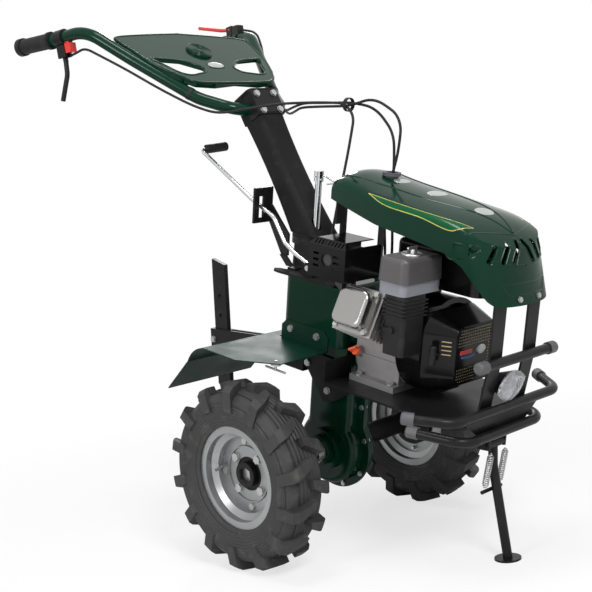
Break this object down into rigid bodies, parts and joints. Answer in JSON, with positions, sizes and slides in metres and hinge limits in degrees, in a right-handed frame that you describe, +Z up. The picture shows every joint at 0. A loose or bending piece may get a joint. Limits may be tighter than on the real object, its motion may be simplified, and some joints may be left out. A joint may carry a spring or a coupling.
{
  "type": "mini cultivator",
  "caption": "Two-wheel walking tractor with a petrol engine under a slotted hood, bar-lug tyres, high handlebars with a console, front bumper, prop stand and rear depth bar.",
  "frame": {"origin": "centre of the bounding box in plan, on the ground", "axes": "+X forward along the machine, +Y to the machine's left, +Z up; the body leans nose-down on its prop stand as in the picture"},
  "size_m": [1.2479, 0.687, 1.3025],
  "materials": {
    "green_paint": "gloss",
    "black_paint": "satin",
    "zinc": "satin",
    "chrome": "polished",
    "cast_alloy": "cast",
    "dark_cast": "cast",
    "tyre": "matt",
    "rubber": "matt",
    "black_plastic": "grained",
    "grey_plastic": "matt",
    "red_plastic": "gloss",
    "orange_plastic": "gloss",
    "gear_steel": "machined",
    "clear_lens": "clear"
  },
  "bodies": {
    "chassis": {"air_cleaner_base": "grey_plastic", "air_cleaner_cover": "grey_plastic", "blower_housing": "black_paint", "bumper_frame": "black_paint", "bumper_tubes": "black_paint", "chassis_bolts": "zinc", "crankcase": "cast_alloy", "cylinder_head": "cast_alloy", "engine_base_plate": "black_paint", "fenders": "green_paint", "fuel_tank": "black_paint", "gearbox_halves": "green_paint", "gearbox_upper_case": "green_paint", "headlight_lens": "clear_lens", "headlight_shell": "black_plastic", "hitch_bracket": "black_paint", "hood": "green_paint", "hood_brackets": "black_paint", "intake_cover": "black_plastic", "lever_gate": "black_paint", "muffler": "dark_cast", "muffler_guard": "black_paint", "recoil_cover": "black_paint", "rubber_fittings": "rubber", "shift_plate": "black_paint", "side_gussets": "black_paint", "stand_bracket": "black_paint", "swivel_base": "black_paint", "valve_cover": "cast_alloy"},
    "wheels": {"drive_axle": "zinc", "final_gear": "gear_steel", "tyre_left": "tyre", "tyre_right": "tyre", "wheel_hubs": "zinc", "wheel_rims": "zinc", "wheel_bolts": "zinc"},
    "column": {"steering_column": "black_paint", "handlebar_clamp": "black_paint", "column_bolts": "zinc", "handlebar": "green_paint", "grips": "rubber", "console_panel": "green_paint", "lever_brackets": "black_paint", "safety_latches": "red_plastic", "kill_switch": "black_plastic", "control_cables": "rubber", "cable_clips": "rubber"},
    "clutch_lever": {"clutch_lever": "black_plastic"},
    "brake_lever": {"brake_lever": "red_plastic"},
    "kill_rocker": {"kill_rocker": "red_plastic"},
    "locking_pin": {"locking_pin": "chrome"},
    "gear_lever": {"gear_lever": "chrome", "gear_lever_grip": "rubber"},
    "crank": {"crankshaft": "gear_steel"},
    "stand": {"stand_leg": "black_paint", "stand_springs": "zinc"},
    "depth_bar": {"depth_bar": "black_paint"},
    "starter_handle": {"starter_handle": "black_plastic"},
    "choke_lever": {"choke_lever": "black_plastic"},
    "dipstick": {"oil_dipstick": "orange_plastic"}
  },
  "joints": [
    {"name": "axle_spin", "type": "hinge", "parent": "chassis", "child": "wheels", "pos_m": [0.0505, 0, 0.207], "axis": [0, 1, 0], "continuous": true},
    {"name": "crank_spin", "type": "hinge", "parent": "chassis", "child": "crank", "pos_m": [0.36562, 0, 0.45811], "axis": [0.974, 0, -0.2267], "continuous": true},
    {"name": "column_swivel", "type": "hinge", "parent": "chassis", "child": "column", "pos_m": [0.04391, 0, 0.6993], "axis": [0.2267, 0, 0.974], "range_deg": [-30, 0], "deforming": ["control_cables"]},
    {"name": "locking_pin_lift", "type": "slide", "parent": "column", "child": "locking_pin", "axis": [0.2267, 0, 0.974], "range_m": [0, 0.014]},
    {"name": "clutch_squeeze", "type": "hinge", "parent": "column", "child": "clutch_lever", "pos_m": [-0.45574, -0.27692, 1.19248], "axis": [-0.1535, 0.9875, 0.0357], "range_deg": [0, 32], "stiffness_Nm_per_rad": 0.4, "springref_deg": -11.46},
    {"name": "brake_press", "type": "hinge", "parent": "column", "child": "brake_lever", "pos_m": [-0.45824, 0.27991, 1.26437], "axis": [0.1535, 0.9875, -0.0357], "range_deg": [-12, 0], "stiffness_Nm_per_rad": 0.4, "springref_deg": 11.46},
    {"name": "kill_rock", "type": "hinge", "parent": "column", "child": "kill_rocker", "pos_m": [-0.43044, 0.2757, 1.26752], "axis": [0.1535, 0.9875, -0.0357], "range_deg": [-4, 4]},
    {"name": "gear_shift", "type": "hinge", "parent": "chassis", "child": "gear_lever", "pos_m": [0.10855, -0.08, 0.63293], "axis": [0, 1, 0], "range_deg": [-4, 4]},
    {"name": "stand_fold", "type": "hinge", "parent": "chassis", "child": "stand", "pos_m": [0.49955, 0, 0.2483], "axis": [0, 1, 0], "range_deg": [0, 66], "stiffness_Nm_per_rad": 0.5},
    {"name": "depth_slide", "type": "slide", "parent": "chassis", "child": "depth_bar", "axis": [0.0889, 0, 0.996], "range_m": [-0.05, 0.05]},
    {"name": "starter_pull", "type": "slide", "parent": "chassis", "child": "starter_handle", "axis": [0, -1, 0], "range_m": [0, 0.3], "stiffness_N_per_m": 20},
    {"name": "choke_turn", "type": "hinge", "parent": "chassis", "child": "choke_lever", "pos_m": [0.39974, -0.182, 0.50767], "axis": [0, 1, 0], "range_deg": [0, 40]},
    {"name": "dipstick_lift", "type": "slide", "parent": "chassis", "child": "dipstick", "axis": [-0.1395, -0.8514, 0.5056], "range_m": [0, 0.07]}
  ]
}
